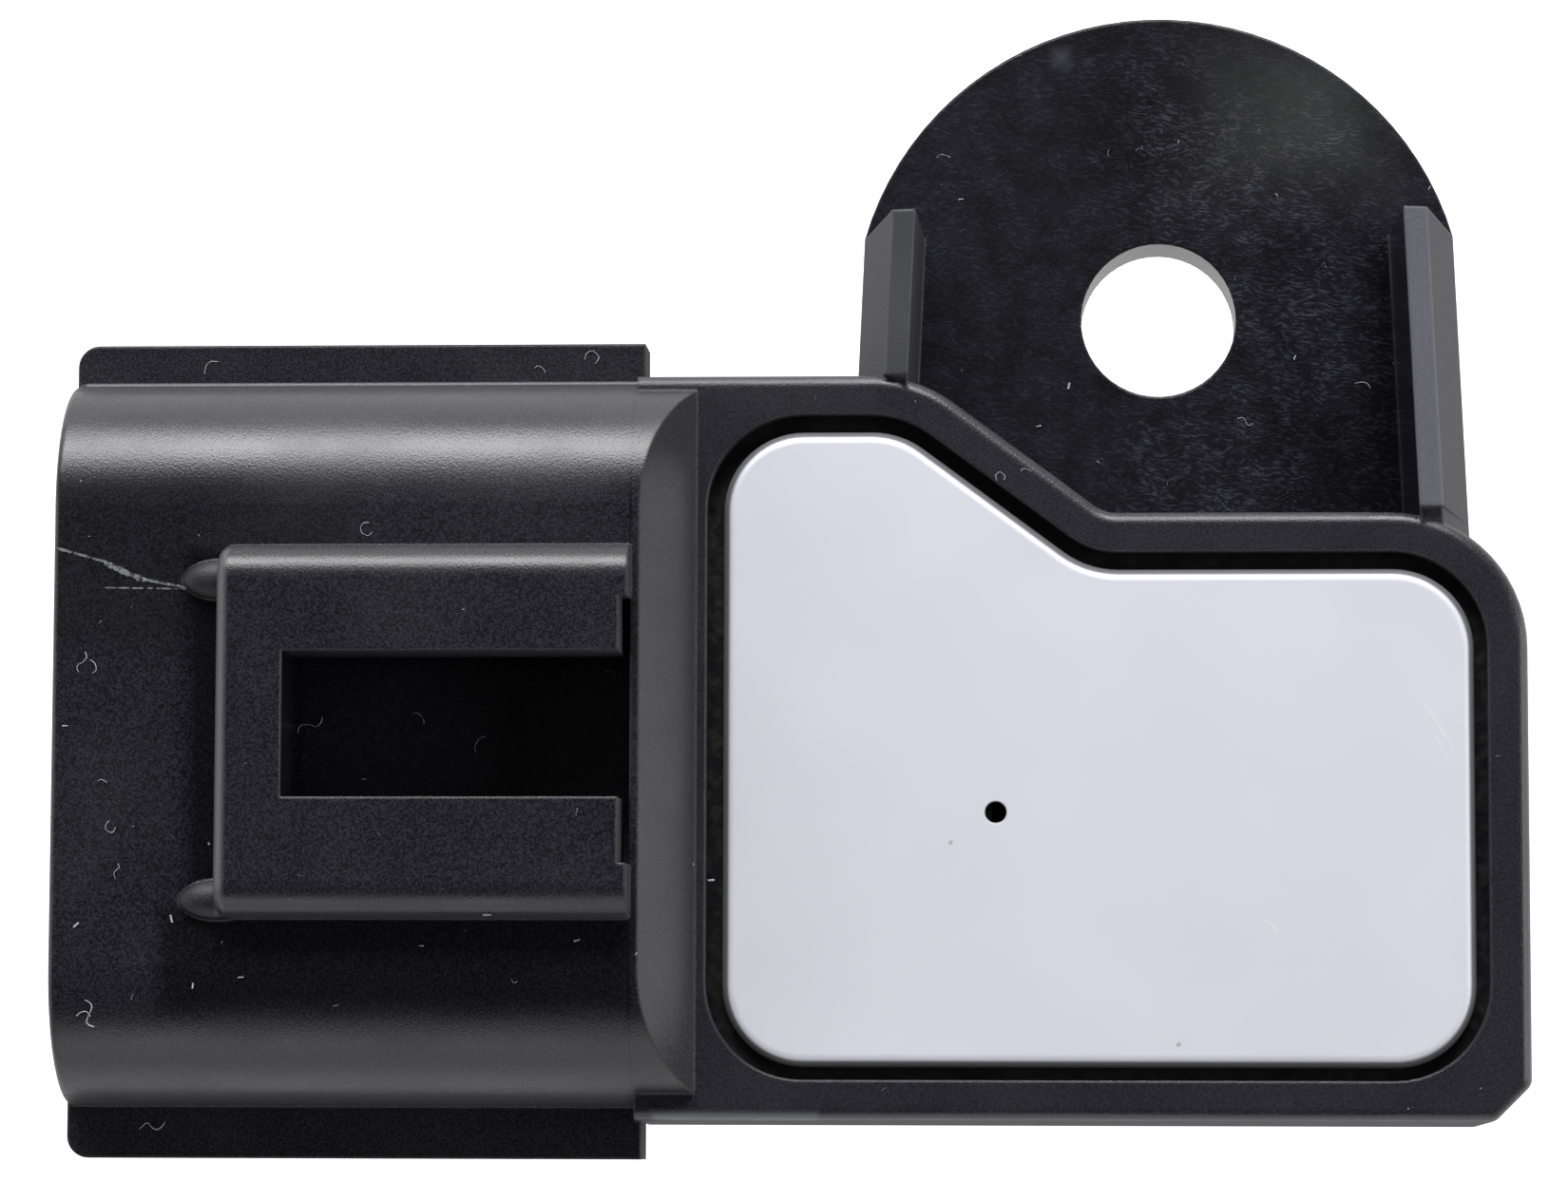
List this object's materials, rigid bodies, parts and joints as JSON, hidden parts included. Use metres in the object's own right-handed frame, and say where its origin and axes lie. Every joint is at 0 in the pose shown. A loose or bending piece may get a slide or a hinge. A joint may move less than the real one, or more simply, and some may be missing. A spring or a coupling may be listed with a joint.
{
  "type": "manifold absolute pressure sensor",
  "caption": "Plug-in pressure sensor for an intake manifold: black moulded housing with connector shroud, metal lid, screw lug with ribs and a sealed round port underneath.",
  "frame": {"origin": "where the axis of the pressure port crosses the seat plane under the body and the lug", "axes": "+X away from the connector along the body, +Y towards the screw lug, +Z out of the manifold, towards the lid"},
  "size_m": [0.0597, 0.048, 0.0309],
  "materials": {
    "housing_plastic": "black glass-filled moulding, finely spark-eroded",
    "lid_metal": "satin, even light grey",
    "sealant": "cured black sealant",
    "terminal_metal": "tin plated",
    "solder": "bright solder",
    "board_laminate": "green solder mask",
    "adhesive": "cured grey adhesive",
    "pedestal_glass": "clear",
    "silicon": "polished silicon",
    "wire_metal": "bright drawn wire",
    "wall_plastic": "plain moulding",
    "gel": "clear soft gel",
    "package_plastic": "moulded chip package, unmarked",
    "lead_metal": "tin plated",
    "capacitor_ceramic": "fired ceramic",
    "resistor_ceramic": "coated ceramic, unmarked",
    "ring_rubber": "smooth black rubber"
  },
  "bodies": {
    "root": {"housing": "housing_plastic", "lid": "lid_metal", "lid_sealant": "sealant", "terminal_1": "terminal_metal", "terminal_2": "terminal_metal", "terminal_3": "terminal_metal", "solder_joint_1": "solder", "solder_joint_2": "solder", "solder_joint_3": "solder", "circuit_board": "board_laminate", "board_adhesive": "adhesive", "cell_pedestal": "pedestal_glass", "pressure_chip": "silicon", "bond_wires": "wire_metal", "gel_wall": "wall_plastic", "protective_gel": "gel", "signal_chip": "package_plastic", "chip_leads": "lead_metal", "capacitor_1": "capacitor_ceramic", "capacitor_2": "capacitor_ceramic", "capacitor_3": "capacitor_ceramic", "resistor_1": "resistor_ceramic", "resistor_2": "resistor_ceramic", "port_o_ring": "ring_rubber"}
  },
  "joints": []
}
